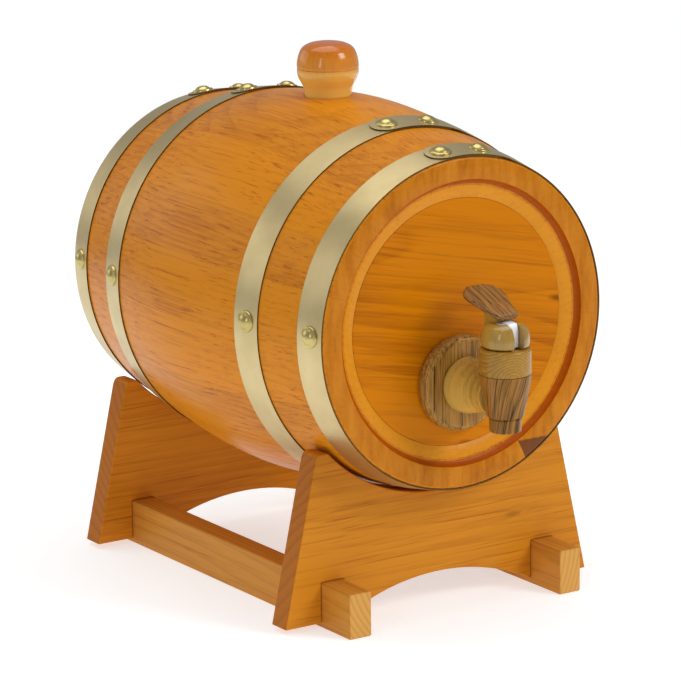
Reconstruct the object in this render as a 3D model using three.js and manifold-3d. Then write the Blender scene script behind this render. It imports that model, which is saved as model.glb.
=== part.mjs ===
// A small wooden keg on its side on a cradle, with brass hoops, a bung and a turned wooden tap.
// Millimetres, +Z up. The keg lies along Y with its tap towards -Y. The origin is on the table,
// under the middle of the whole object.
import * as THREE from 'three';
import { mergeVertices } from 'three/addons/utils/BufferGeometryUtils.js';
import Module from 'manifold-3d';

const wasm = await Module();
wasm.setup();

// ---- driving dimensions ----
const GAP = 0.3;
const KEG_LENGTH = 218;
const RIM_R = 76;
const BELLY_R = 90;
const BELLY_BEND = 40;
const AXIS_Z = 136.5;
const STAVE_THICK = 10;
const AROUND = 36;
const AROUND_SMALL = 20;
const AROUND_NAIL = 8;

// The turned end of the keg: flat chime ring, steep cove, shallow cone, then the head.
const CHIME_R = 66;
const COVE_R = 62.6;
const COVE_DEPTH = 3;
const HEAD_R = 57;
const HEAD_DEPTH = 5;
const HEAD_THICK = 10;
const TONGUE = 4;
const TONGUE_INSET = 2.2;
const HOWEL_DEPTH = 34;
const HEAD_JOINTS = [20, -8];

// Stave joints in degrees, from +X towards +Z. The staves differ in width, as split ones do.
const STAVE_JOINTS = [-91, -63, -45, -22, -3.5, 18, 40, 60, 79, 102, 124, 146, 163, 182, 203, 226, 248];
const DARK_STAVE = 1;
const BUNG_STAVE = 8;

const HOOP_WIDTH = 15.5;
const HOOP_THICK = 1;
const RIM_HOOP_IN = 0.3;
const QUARTER_HOOP_IN = 42;
const LAP_TIP = 99;
const LAP_END = 66;
const RIVET_ANGLES = [95, 79.6];
const NAIL_ANGLES = [177.5, 2.5];
const SHANK_R = 1.2;
const HOLE_R = 1.45;
const NAIL_BITE = 6;
const NAIL_DEPTH = NAIL_BITE + GAP + 0.5;
const FLANGE_R = 5;

const BUNG_PLUG = 16;
const BUNG_BASE_R = 11.2;
const BUNG_TIP_R = 9.9;
const BUNG_BULB_R = 14.4;
const BUNG_HEIGHT = 24.8;

const PLATE_THICK = 12;
const PLATE_SPACING = 168;
const PLATE_CLEAR = 2.3;
const FOOT_X = 84.4;
const HORN_X = 67.5;
const HORN_Z = 77.5;
const HORN_TOP = 81.4;
const ARCH_TOP = 15.6;
const ARCH_R = 112.5;
const RAIL_LENGTH = 224.8;
const RAIL_X = 58.7;
const RAIL_WIDE = 12;
const RAIL_TALL = 21.3;
const STAND_MIDDLE = 110.6;

const TAP_DROP = 27.4;
const TAP_REACH = 36.5;
const ROSETTE_R = 22.25;
const ROSETTE_THICK = 6.2;
const TAP_HOLE_R = 9;
const TAP_BODY_R = 11.75;
const SHANK_INSIDE = 14;
const PASSAGE_R = 3;
const TENON_R = 6;
const PLUG_R = 4.6;
const PLUG_BOTTOM = -4.7;
const COLLAR_BASE = 11;
const COLLAR_TOP = 23;
const KNOB_TOP = 34;
const KNOB_R = 11;
const KNOB_SLOT = 2.6;
const FIN_REACH = 7.6;
const FIN_TOP = 32.6;
const SPOUT_END = -15.5;
const SPOUT_BORE = 4;
const TENON_SHOULDER = 0.9;

// The paddle's underside starts here, in front of the key's axis, and rises towards the keg.
const PADDLE_FRONT = 2.2;
const PADDLE_FOOT = 1.3;
const PADDLE_TILT = 19.8;
const PADDLE_THICK = 3.2;
const PADDLE_EASE = 0.9;
const PADDLE_LENGTH = 27.3;
const PEDESTAL_WIDE = 5.6;

const TAP_FRONT = HEAD_DEPTH - TAP_REACH - TAP_BODY_R;
const RAIL_BACK = STAND_MIDDLE + RAIL_LENGTH / 2;
const FRONT_Y = -(TAP_FRONT + RAIL_BACK) / 2;
const UP = new THREE.Vector3(0, 1, 0);

// ---- materials ----
function material(color, roughness, metalness = 0) {
  return new THREE.MeshStandardMaterial({ color, roughness, metalness });
}

const staveWood = material(0xd0813a, 0.25);
const darkStaveWood = material(0x8c4a30, 0.25);
const headWood = material(0xc87a1c, 0.3);
const brass = material(0xbfae78, 0.35, 1);
const rivetBrass = material(0xc8c082, 0.2, 1);
const bungWood = material(0xc87814, 0.2);
const standWood = material(0xc38228, 0.4);
const tapDarkWood = material(0x5a3c23, 0.35);
const tapLightWood = material(0xaa8c46, 0.3);
const whitePlastic = material(0xebebf0, 0.3);

// ---- solids ----
function solid(geometry) {
  const bare = new THREE.BufferGeometry();
  bare.setAttribute('position', geometry.getAttribute('position'));
  if (geometry.index) bare.setIndex(geometry.index);
  const welded = mergeVertices(bare, 1e-4);
  const corners = welded.index.array;
  const kept = [];
  for (let i = 0; i < corners.length; i += 3) {
    const [a, b, c] = corners.subarray(i, i + 3);
    if (a !== b && b !== c && c !== a) kept.push(a, b, c);
  }
  return new wasm.Manifold(new wasm.Mesh({
    numProp: 3,
    vertProperties: new Float32Array(welded.getAttribute('position').array),
    triVerts: new Uint32Array(kept),
  }));
}

function geometryOf(body) {
  const found = body.getMesh();
  const geometry = new THREE.BufferGeometry();
  const places = new Float32Array(found.vertProperties);
  geometry.setAttribute('position', new THREE.BufferAttribute(places, 3));
  geometry.setIndex(new THREE.BufferAttribute(new Uint32Array(found.triVerts), 1));
  const faceted = geometry.toNonIndexed();
  faceted.computeVertexNormals();
  return faceted;
}

function place(parent, name, body, look) {
  const mesh = new THREE.Mesh(geometryOf(body), look.clone());
  mesh.name = name;
  parent.add(mesh);
  return mesh;
}

// A turned piece: [radius, height] pairs, the outer side running up, about the Y axis.
function lathe(profile, around = AROUND) {
  return new THREE.LatheGeometry(profile.map(([r, h]) => new THREE.Vector2(r, h)), around);
}

function turned(profile, around = AROUND) {
  return solid(lathe(profile, around));
}

function turnedUpright(profile, around = AROUND_SMALL) {
  return solid(lathe(profile, around).rotateX(Math.PI / 2));
}

function rod(radius, from, to, around = AROUND_SMALL) {
  return turned([[0, from], [radius, from], [radius, to], [0, to]], around);
}

function uprightRod(radius, from, to, around = AROUND_SMALL) {
  return turnedUpright([[0, from], [radius, from], [radius, to], [0, to]], around);
}

function box(x0, x1, y0, y1, z0, z1) {
  const geometry = new THREE.BoxGeometry(x1 - x0, y1 - y0, z1 - z0);
  return solid(geometry.translate((x0 + x1) / 2, (y0 + y1) / 2, (z0 + z1) / 2));
}

// An outline in the X-Z plane, running from y0 to y1 along Y.
function slab(shape, y0, y1) {
  const geometry = new THREE.ExtrudeGeometry(shape, {
    depth: y1 - y0,
    bevelEnabled: false,
    curveSegments: 12,
  });
  return solid(geometry.rotateX(Math.PI / 2).translate(0, y1, 0));
}

function degrees(angle) {
  return THREE.MathUtils.degToRad(angle);
}

// ---- the keg's curve, with y measured from its middle: bent at the belly, nearly straight beyond ----
const half = KEG_LENGTH / 2;
const taper = (BELLY_R - RIM_R) / (Math.hypot(half, BELLY_BEND) - BELLY_BEND);

function outerR(y) {
  return BELLY_R - taper * (Math.hypot(y, BELLY_BEND) - BELLY_BEND);
}

function outerSlope(y) {
  return -taper * y / Math.hypot(y, BELLY_BEND);
}

function between(from, to, steps) {
  return Array.from({ length: steps + 1 }, (_, i) => from + (to - from) * i / steps);
}

// One end's inner side, as [radius, depth from the rim], from the chime inwards.
function endProfile() {
  const tongueFront = HEAD_DEPTH + TONGUE_INSET;
  const tongueBack = HEAD_DEPTH + HEAD_THICK - TONGUE_INSET;
  return [
    [CHIME_R, 0],
    [(CHIME_R + COVE_R) / 2 - 0.7, COVE_DEPTH * 0.42],
    [COVE_R, COVE_DEPTH],
    [HEAD_R, HEAD_DEPTH],
    [HEAD_R, tongueFront],
    [HEAD_R + TONGUE, tongueFront],
    [HEAD_R + TONGUE, tongueBack],
    [HEAD_R, tongueBack],
    [HEAD_R, HEAD_DEPTH + HEAD_THICK + 1],
  ];
}

function staveShell() {
  const edge = 0.8;
  const outside = between(-half + edge, half - edge, 10).map((y) => [outerR(y), y]);
  const hollow = half - HOWEL_DEPTH;
  const inside = between(hollow, -hollow, 6).map((y) => [outerR(y) - STAVE_THICK, y]);
  const front = endProfile().map(([r, depth]) => [r, depth - half]).reverse();
  const back = endProfile().map(([r, depth]) => [r, half - depth]);
  return turned([[RIM_R - edge, -half], ...outside, [RIM_R - edge, half], ...back, ...inside, ...front,
    [RIM_R - edge, -half]]);
}

// The radial wedge between two stave joints, drawn in by half a gap on each side.
function staveWedge(from, to) {
  const middle = degrees((from + to) / 2);
  const halfAngle = degrees((to - from) / 2);
  const apex = GAP / 2 / Math.sin(halfAngle);
  const reach = BELLY_R * 1.5;
  const corner = (angle) => [
    apex * Math.cos(middle) + reach * Math.cos(angle),
    apex * Math.sin(middle) + reach * Math.sin(angle),
  ];
  const shape = new THREE.Shape();
  shape.moveTo(apex * Math.cos(middle), apex * Math.sin(middle));
  shape.lineTo(...corner(middle - halfAngle));
  shape.lineTo(...corner(middle + halfAngle));
  shape.closePath();
  return slab(shape, -KEG_LENGTH, KEG_LENGTH);
}

// ---- hoops and their fasteners ----
const HOOPS = [
  { name: 'front_rim', y: -half + RIM_HOOP_IN + HOOP_WIDTH / 2 },
  { name: 'front_quarter', y: -half + QUARTER_HOOP_IN + HOOP_WIDTH / 2 },
  { name: 'back_quarter', y: half - QUARTER_HOOP_IN - HOOP_WIDTH / 2 },
  { name: 'back_rim', y: half - RIM_HOOP_IN - HOOP_WIDTH / 2 },
];

function strapBand(y, inner, outer) {
  const rows = [y - HOOP_WIDTH / 2, y + HOOP_WIDTH / 2];
  const out = rows.map((at) => [outerR(at) + outer, at]);
  const back = rows.map((at) => [outerR(at) + inner, at]).reverse();
  return turned([...back.slice(-1), ...out, ...back]);
}

// The direction straight out of the keg's surface, at an angle round it.
function outward(y, angle) {
  const lean = Math.atan(outerSlope(y));
  const round = degrees(angle);
  return new THREE.Vector3(
    Math.cos(round) * Math.cos(lean), -Math.sin(lean), Math.sin(round) * Math.cos(lean));
}

function onStrap(y, angle, lift) {
  const round = degrees(angle);
  const r = outerR(y) + GAP;
  const inside = new THREE.Vector3(r * Math.cos(round), y, r * Math.sin(round));
  return inside.addScaledVector(outward(y, angle), lift);
}

function turnOutward(y, angle, lift) {
  const turn = new THREE.Quaternion().setFromUnitVectors(UP, outward(y, angle));
  return new THREE.Matrix4().compose(onStrap(y, angle, lift), turn, new THREE.Vector3(1, 1, 1));
}

// The strap's outer end: a second layer on top with a rounded tip, run out flush at its other side.
function lap(y) {
  const layer = strapBand(y, GAP + HOOP_THICK / 2, GAP + 2 * HOOP_THICK);
  const r = outerR(y) + GAP + HOOP_THICK;
  const tip = r * Math.cos(degrees(LAP_TIP));
  const end = r * Math.cos(degrees(LAP_END - 4));
  const w = HOOP_WIDTH / 2;
  const plan = new THREE.Shape();
  plan.moveTo(end, y - w - 1);
  plan.lineTo(end, y + w + 1);
  plan.lineTo(tip + w, y + w + 1);
  plan.lineTo(tip + w, y + w);
  plan.absarc(tip + w, y, w, Math.PI / 2, 3 * Math.PI / 2, false);
  plan.lineTo(tip + w, y - w - 1);
  plan.closePath();
  const above = solid(new THREE.ExtrudeGeometry(plan, {
    depth: BELLY_R * 2,
    bevelEnabled: false,
    curveSegments: 6,
  }));
  const ground = new THREE.BoxGeometry(400, 200, 400).translate(0, -100, 0);
  ground.applyMatrix4(turnOutward(y, LAP_END, HOOP_THICK));
  return layer.intersect(above).intersect(solid(ground));
}

function fastenerHole(y, angle, deep) {
  const geometry = lathe([[0, -deep], [HOLE_R, -deep], [HOLE_R, deep], [0, deep]], AROUND_NAIL);
  return solid(geometry.applyMatrix4(turnOutward(y, angle, 0)));
}

function hoopSolid(y) {
  let strap = strapBand(y, GAP, GAP + HOOP_THICK).add(lap(y));
  for (const angle of [...RIVET_ANGLES, ...NAIL_ANGLES]) {
    strap = strap.subtract(fastenerHole(y, angle, NAIL_DEPTH));
  }
  return strap;
}

function fastener(length) {
  const seat = 0.15;
  return turned([[0, -length], [SHANK_R, -length], [SHANK_R, seat], [FLANGE_R, seat], [FLANGE_R, 0.75],
    [3.8, 1.1], [2.2, 2.6], [0, 2.9]], AROUND_NAIL);
}

function addFastener(parent, name, y, angle, layers, length) {
  const mesh = place(parent, name, fastener(length), rivetBrass);
  mesh.position.copy(onStrap(y, angle, layers * HOOP_THICK));
  mesh.quaternion.setFromUnitVectors(UP, outward(y, angle));
}

// ---- heads ----
function headDisc(middle) {
  const r = HEAD_R - GAP;
  const front = middle - HEAD_THICK / 2;
  const back = middle + HEAD_THICK / 2;
  const inset = TONGUE_INSET + GAP;
  const ease = 0.5;
  return turned([[0, front], [r - ease, front], [r, front + ease], [r, front + inset],
    [r + TONGUE, front + inset], [r + TONGUE, back - inset], [r, back - inset], [r, back - ease],
    [r - ease, back], [0, back]]);
}

function addHead(parent, side, middle, hole) {
  const disc = headDisc(middle);
  const edges = [BELLY_R, ...HEAD_JOINTS, -BELLY_R];
  ['top', 'middle', 'bottom'].forEach((level, i) => {
    const slice = box(-BELLY_R, BELLY_R, middle - 20, middle + 20,
      edges[i + 1] + GAP / 2, edges[i] - GAP / 2);
    let board = disc.intersect(slice);
    if (hole) board = board.subtract(hole);
    place(parent, `head_${side}_${level}`, board, headWood);
  });
}

// ---- bung ----
function bungPlug(extra, from, to) {
  const at = (z) => {
    const t = (z - (BELLY_R - BUNG_PLUG)) / BUNG_PLUG;
    return BUNG_TIP_R + (BUNG_BASE_R - BUNG_TIP_R) * t + extra;
  };
  return turnedUpright([[0, from], [at(from), from], [at(to), to], [0, to]]);
}

function bungSolid() {
  const z = BELLY_R;
  const top = z + BUNG_HEIGHT;
  const r = BUNG_BULB_R;
  return turnedUpright([
    [0, z - BUNG_PLUG], [BUNG_TIP_R - 1, z - BUNG_PLUG], [BUNG_TIP_R, z - BUNG_PLUG + 1],
    [BUNG_BASE_R, z], [BUNG_BASE_R + 0.1, z + 1.5], [BUNG_BASE_R + 0.6, z + 4], [r - 1.6, z + 6],
    [r - 0.6, z + 8], [r, z + 10.2], [r, z + 12.1], [r - 0.4, z + 12.4], [r, z + 12.7], [r, z + 15],
    [r - 0.8, z + 18.7], [r - 2.5, z + 22], [r - 5.9, z + 23.9], [r - 10, z + 24.6], [0, top]]);
}

// ---- stand ----
function plateShape() {
  const saddleR = outerR(half - 32.5) + GAP;
  const saddleZ = HORN_TOP - 0.9;
  const saddleX = Math.sqrt(saddleR ** 2 - (AXIS_Z - saddleZ) ** 2);
  const saddleAngle = Math.atan2(AXIS_Z - saddleZ, saddleX);
  const inner = RAIL_X - RAIL_WIDE / 2 - GAP;
  const outer = RAIL_X + RAIL_WIDE / 2 + GAP;
  const notchTop = RAIL_TALL + GAP;
  const archAngle = Math.asin(inner / ARCH_R);
  const shape = new THREE.Shape();
  shape.moveTo(-FOOT_X, PLATE_CLEAR);
  shape.lineTo(-outer, PLATE_CLEAR);
  shape.lineTo(-outer, notchTop);
  shape.lineTo(-inner, notchTop);
  shape.absarc(0, ARCH_TOP - ARCH_R, ARCH_R, Math.PI / 2 + archAngle, Math.PI / 2 - archAngle, true);
  shape.lineTo(inner, notchTop);
  shape.lineTo(outer, notchTop);
  shape.lineTo(outer, PLATE_CLEAR);
  shape.lineTo(FOOT_X, PLATE_CLEAR);
  shape.lineTo(HORN_X, HORN_Z);
  shape.quadraticCurveTo(HORN_X - 0.8, HORN_TOP, HORN_X - 3.5, HORN_TOP);
  shape.lineTo(saddleX + 2.4, HORN_TOP);
  shape.quadraticCurveTo(saddleX + 0.8, HORN_TOP, saddleX, saddleZ);
  shape.absarc(0, AXIS_Z, saddleR, -saddleAngle, -Math.PI + saddleAngle, true);
  shape.quadraticCurveTo(-saddleX - 0.8, HORN_TOP, -saddleX - 2.4, HORN_TOP);
  shape.lineTo(-HORN_X + 3.5, HORN_TOP);
  shape.quadraticCurveTo(-HORN_X + 0.8, HORN_TOP, -HORN_X, HORN_Z);
  shape.closePath();
  return shape;
}

function addStand(parent) {
  for (const [name, side] of [['front', -1], ['back', 1]]) {
    const y = side * PLATE_SPACING / 2;
    const plate = slab(plateShape(), y - PLATE_THICK / 2, y + PLATE_THICK / 2);
    place(parent, `cradle_${name}`, plate, standWood);
  }
  const ends = [-RAIL_LENGTH / 2, RAIL_LENGTH / 2];
  for (const [name, side] of [['left', -1], ['right', 1]]) {
    const x = side * RAIL_X;
    const rail = box(x - RAIL_WIDE / 2, x + RAIL_WIDE / 2, ...ends, 0, RAIL_TALL);
    place(parent, `rail_${name}`, rail, standWood);
  }
}

// ---- tap ----
// The rosette and neck are drawn from the head's face, with -Y pointing out. The body, collar, plug,
// knob and handle are drawn from the key's axis, where it meets the neck's.
function tapBodyOutline(extra) {
  return [[7.25 + extra, -14.9], [7.25 + extra, -9.4], [6.8 + extra, -9], [8.5 + extra, -8.3],
    [9 + extra, -5], [10.3 + extra, 1], [11.3 + extra, 6], [TAP_BODY_R + extra, COLLAR_BASE - GAP / 2]];
}

function tapBodySolid() {
  const seat = PLUG_R + GAP;
  const shelf = PLUG_BOTTOM - GAP;
  const profile = [[SPOUT_BORE, SPOUT_END], [6.65, SPOUT_END], ...tapBodyOutline(0),
    [seat, COLLAR_BASE - GAP / 2], [seat, shelf], [SPOUT_BORE, shelf], [SPOUT_BORE, SPOUT_END]];
  const mortise = rod(TENON_R + GAP, seat + TENON_SHOULDER, TAP_REACH);
  return turnedUpright(profile).subtract(mortise).subtract(rod(PASSAGE_R, 0, TAP_REACH));
}

function tapNeckSolid() {
  const bell = [[-SHANK_INSIDE, TAP_HOLE_R - GAP - 0.6], [-SHANK_INSIDE + 1, TAP_HOLE_R - GAP],
    [ROSETTE_THICK + GAP, TAP_HOLE_R - GAP], [ROSETTE_THICK + GAP, 12.6], [7.6, 13], [10, 12.9],
    [14, 11.8], [18, 10.4], [22, 9.5], [TAP_REACH, 9.2]];
  const profile = bell.map(([out, r]) => [r, -out]).reverse();
  const neck = turned([[0, -TAP_REACH], ...profile, [0, SHANK_INSIDE]], AROUND_SMALL);
  const outline = [[0, SPOUT_END], ...tapBodyOutline(GAP), [TAP_BODY_R + GAP, COLLAR_TOP]];
  const clearance = turnedUpright([...outline, [0, COLLAR_TOP]]).translate([0, -TAP_REACH, 0]);
  const tenonEnd = TAP_REACH - PLUG_R - 2 * GAP - TENON_SHOULDER;
  const beyond = box(-30, 30, -TAP_REACH - 30, -TAP_REACH, -30, 30);
  return neck.subtract(clearance).subtract(beyond)
    .add(rod(TENON_R, -tenonEnd, -18))
    .subtract(rod(PASSAGE_R, -TAP_REACH, SHANK_INSIDE + 1));
}

function rosetteSolid() {
  const r = ROSETTE_R;
  const inner = TAP_HOLE_R;
  const outline = [[inner, -ROSETTE_THICK], [r - 3.2, -ROSETTE_THICK], [r - 1.4, -ROSETTE_THICK + 0.9],
    [r - 0.3, -ROSETTE_THICK + 2.4], [r, -ROSETTE_THICK + 3.8], [r, -GAP - 0.5], [r - 0.5, -GAP],
    [inner, -GAP], [inner, -ROSETTE_THICK]];
  return turned(outline, AROUND_SMALL + 8);
}

function collarSolid() {
  const r = TAP_BODY_R;
  const seat = PLUG_R + GAP;
  const base = COLLAR_BASE + GAP / 2;
  return turnedUpright([[seat, base], [r - 0.2, base], [r, base + 0.3], [r, COLLAR_TOP - 0.8],
    [r - 0.8, COLLAR_TOP], [seat, COLLAR_TOP], [seat, base]]);
}

// Moves a paddle drawn flat, from its front edge, onto the slope it has above the knob.
function onSlope(geometry) {
  return geometry.rotateX(degrees(PADDLE_TILT)).translate(0, -PADDLE_FRONT, KNOB_TOP + PADDLE_FOOT);
}

function pedestal(base) {
  const block = box(-PEDESTAL_WIDE, PEDESTAL_WIDE, GAP, KNOB_R, base, KNOB_TOP * 1.5);
  const below = onSlope(new THREE.BoxGeometry(80, 80, 40).translate(0, 0, -20 - GAP));
  return block.intersect(uprightRod(KNOB_R - 0.1, base, KNOB_TOP * 1.5)).intersect(solid(below));
}

// Two lobes with a slot between them at the front, and a pedestal for the paddle at the back.
function knobSolid() {
  const bore = PLUG_R + GAP;
  const base = COLLAR_TOP + GAP;
  const dome = turnedUpright([[0, base], [9.8, base], [10.8, base + 0.9], [KNOB_R, base + 2.7],
    [10.9, base + 5.2], [10.2, base + 7.7], [8.8, base + 9.7], [7, KNOB_TOP], [0, KNOB_TOP]]);
  return dome.add(pedestal(base + 4))
    .subtract(uprightRod(bore, base - 1, KNOB_TOP + GAP))
    .subtract(box(-KNOB_SLOT, KNOB_SLOT, -2 * KNOB_R, 0, base - 1, KNOB_TOP + 1));
}

// The turned plug, with a fin that the knob's slot grips.
function plugSolid() {
  const fin = KNOB_SLOT - GAP;
  const plug = uprightRod(PLUG_R, PLUG_BOTTOM, KNOB_TOP)
    .add(box(-fin, fin, -FIN_REACH, 0, COLLAR_TOP + 2 * GAP, FIN_TOP));
  const drop = uprightRod(2.2, PLUG_BOTTOM - 1, 1.5, AROUND_NAIL);
  const port = solid(lathe([[0, 0], [2, 0], [2, 10], [0, 10]], AROUND_NAIL).rotateZ(-Math.PI / 2));
  return plug.subtract(drop).subtract(port);
}

// Seen from above, with its wide rounded tail towards the keg.
function handleSolid() {
  const plan = new THREE.Shape();
  plan.moveTo(-4.6, 0);
  plan.lineTo(4.6, 0);
  plan.quadraticCurveTo(5.9, 0, 6.1, 1.6);
  plan.bezierCurveTo(6.5, 7, 8.1, 12, 9, 17.5);
  plan.bezierCurveTo(9.9, 24, 5.5, PADDLE_LENGTH, 0, PADDLE_LENGTH);
  plan.bezierCurveTo(-5.5, PADDLE_LENGTH, -9.9, 24, -9, 17.5);
  plan.bezierCurveTo(-8.1, 12, -6.5, 7, -6.1, 1.6);
  plan.quadraticCurveTo(-5.9, 0, -4.6, 0);
  const paddle = new THREE.ExtrudeGeometry(plan, {
    depth: PADDLE_THICK - 2 * PADDLE_EASE,
    bevelEnabled: true,
    bevelThickness: PADDLE_EASE,
    bevelSize: PADDLE_EASE,
    bevelOffset: -PADDLE_EASE,
    bevelSegments: 2,
    curveSegments: 5,
  });
  return solid(onSlope(paddle.translate(0, 0, PADDLE_EASE)));
}

// ---- assembly ----
const group = new THREE.Group();

const stand = new THREE.Group();
stand.position.set(0, FRONT_Y + STAND_MIDDLE, 0);
addStand(stand);
group.add(stand);

const barrel = new THREE.Group();
barrel.position.set(0, FRONT_Y + half, AXIS_Z);
group.add(barrel);

const shell = staveShell();
const bungHole = bungPlug(GAP, BELLY_R - 2 * STAVE_THICK, BELLY_R + 5);
const nailHoles = HOOPS.flatMap(({ y }) => (
  NAIL_ANGLES.map((angle) => fastenerHole(y, angle, NAIL_DEPTH))
));

STAVE_JOINTS.forEach((from, i) => {
  const to = STAVE_JOINTS[i + 1] ?? STAVE_JOINTS[0] + 360;
  let stave = shell.intersect(staveWedge(from, to));
  if (i === BUNG_STAVE) stave = stave.subtract(bungHole);
  for (const hole of nailHoles) stave = stave.subtract(hole);
  const number = String(i + 1).padStart(2, '0');
  place(barrel, `stave_${number}`, stave, i === DARK_STAVE ? darkStaveWood : staveWood);
});

const headMiddle = half - HEAD_DEPTH - HEAD_THICK / 2;
const tapHole = rod(TAP_HOLE_R, -half, half).translate([0, 0, -TAP_DROP]);
addHead(barrel, 'front', -headMiddle, tapHole);
addHead(barrel, 'back', headMiddle, null);

for (const { name, y } of HOOPS) {
  place(barrel, `hoop_${name}`, hoopSolid(y), brass);
  RIVET_ANGLES.forEach((angle, i) => {
    addFastener(barrel, `rivet_${name}_${i + 1}`, y, angle, 2, 2 * HOOP_THICK - 0.1);
  });
  NAIL_ANGLES.forEach((angle, i) => {
    addFastener(barrel, `nail_${name}_${i + 1}`, y, angle, 1, HOOP_THICK + GAP + NAIL_BITE);
  });
}

place(barrel, 'bung', bungSolid(), bungWood);

const tap = new THREE.Group();
tap.position.set(0, -half + HEAD_DEPTH, -TAP_DROP);
barrel.add(tap);
place(tap, 'tap_rosette', rosetteSolid(), tapDarkWood);
place(tap, 'tap_neck', tapNeckSolid(), tapLightWood);

const cock = new THREE.Group();
cock.position.set(0, -TAP_REACH, 0);
tap.add(cock);
place(cock, 'tap_body', tapBodySolid(), tapDarkWood);
place(cock, 'tap_collar', collarSolid(), tapLightWood);
place(cock, 'tap_plug', plugSolid(), whitePlastic);
place(cock, 'tap_knob', knobSolid(), tapLightWood);
place(cock, 'tap_handle', handleSolid(), tapDarkWood);

export default group;
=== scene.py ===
import math
import bmesh
import bpy
from mathutils import Matrix, Vector

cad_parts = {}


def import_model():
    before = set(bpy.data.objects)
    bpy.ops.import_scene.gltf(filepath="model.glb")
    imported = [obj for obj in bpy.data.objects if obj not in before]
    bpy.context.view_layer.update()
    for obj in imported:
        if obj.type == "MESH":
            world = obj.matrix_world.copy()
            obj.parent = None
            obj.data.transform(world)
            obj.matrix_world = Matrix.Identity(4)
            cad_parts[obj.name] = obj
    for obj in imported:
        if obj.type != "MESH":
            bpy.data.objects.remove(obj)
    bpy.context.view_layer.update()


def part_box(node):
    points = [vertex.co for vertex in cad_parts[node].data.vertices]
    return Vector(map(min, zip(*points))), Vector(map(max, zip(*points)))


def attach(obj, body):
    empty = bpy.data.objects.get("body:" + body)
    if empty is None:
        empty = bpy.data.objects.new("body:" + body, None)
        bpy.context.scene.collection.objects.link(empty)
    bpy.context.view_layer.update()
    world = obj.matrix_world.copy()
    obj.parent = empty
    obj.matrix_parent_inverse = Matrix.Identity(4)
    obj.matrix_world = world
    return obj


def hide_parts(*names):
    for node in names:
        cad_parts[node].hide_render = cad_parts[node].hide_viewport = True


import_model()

MM = 0.001

# ---- sizes in metres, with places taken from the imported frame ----
FRONT_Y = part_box("stave_01")[0].y
BACK_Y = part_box("stave_01")[1].y
MIDDLE_Y = (FRONT_Y + BACK_Y) / 2
HALF = (BACK_Y - FRONT_Y) / 2
AXIS_Z = (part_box("head_back_top")[1].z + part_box("head_back_bottom")[0].z) / 2
BELLY_R = -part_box("stave_13")[0].x
RIM_R = 76 * MM
BEND = 40 * MM
TAPER = (BELLY_R - RIM_R) / (math.hypot(HALF, BEND) - BEND)
STAVE_THICK = 10 * MM
CHIME_R = 66 * MM
COVE_R = 62.6 * MM
COVE_DEPTH = 3 * MM
# The cove wall's middle radius, and half the width of the red-brown ring painted on that wall as shade.
COVE_MIDDLE_R = 64.85 * MM
COVE_SHADE_BAND = 1.12 * MM
# Near each end, inside this radius, the cone is painted lighter as a highlight.
CONE_R = 62.75 * MM
HEAD_R = 57 * MM
HEAD_DEPTH = 5 * MM
HEAD_THICK = 10 * MM
HOWEL_DEPTH = 34 * MM
# Angles round the barrel are in degrees from its right side, up over the top.
STAVE_JOINTS = [-91, -63, -45, -22, -3.5, 18, 40, 60, 79, 102, 124, 146, 163, 182, 203, 226, 248]
STAVE_ENDS = STAVE_JOINTS[1:] + [STAVE_JOINTS[0] + 360]
DARK_STAVE = 2
BUNG_STAVE = 9
SEAM = 0.01 * MM
RIM_EDGE = 1.2 * MM

STRAP_SEAT = 0.05 * MM
STRAP_THICK = 0.6 * MM
STRAP_GAP = 0.05 * MM
LAP_TIP = 100.4
LAP_UNDER = 74
LAP_CLIMB = (9, 1)
RIVET_ANGLES = (95, 79.6)
NAIL_ANGLES = (177.5, 2.5)
HOOPS = ("front_rim", "front_quarter", "back_quarter", "back_rim")

TAP_AXIS_Z = (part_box("tap_rosette")[0].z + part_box("tap_rosette")[1].z) / 2
TAP_FACE_Y = FRONT_Y + HEAD_DEPTH
TAP_REACH = 36.5 * MM
PLUG_Y = TAP_FACE_Y - TAP_REACH
TAP_HOLE_R = 9 * MM
KNOB_SLOT = 2.6 * MM
BUNG_LOW, BUNG_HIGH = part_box("bung")
BUNG_PLACE = ((BUNG_LOW.x + BUNG_HIGH.x) / 2, (BUNG_LOW.y + BUNG_HIGH.y) / 2, AXIS_Z + BELLY_R)

# Edges bent by more than SHARP_ANGLE degrees are shaded sharp, and those over EASED_ANGLE are bevelled.
SHARP_ANGLE = 35
EASED_ANGLE = 38

# The camera, from the perspective fitted to the photo: its focal length in image widths, its angles in
# radians and its place from the barrel's middle in metres.
FOCAL_WIDTHS = 3800 / 681
AZIMUTH, ELEVATION, ROLL = -0.58345, 0.23500, -0.01183
CAMERA_PLACE = (-0.96249, -1.46613, 0.39123)
# Each light: its name, its place and size in metres and its power in watts.
LIGHTS = [("key", (1.0, -1.6, 1.4), (0.8, 0.8), 18), ("strip", (-1.7, -0.9, 0.7), (0.16, 1.0), 3),
          ("card", (-1.3, 1.9, 0.9), (1.8, 1.2), 7), ("top", (0.0, 0.3, 2.0), (1.8, 1.8), 19)]
LIGHT_AIM = (0, 0, 0.12)
FLOOR_R = 1.1
FLOOR_SIDES = 96
WHITE = (1, 1, 1, 1)


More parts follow.
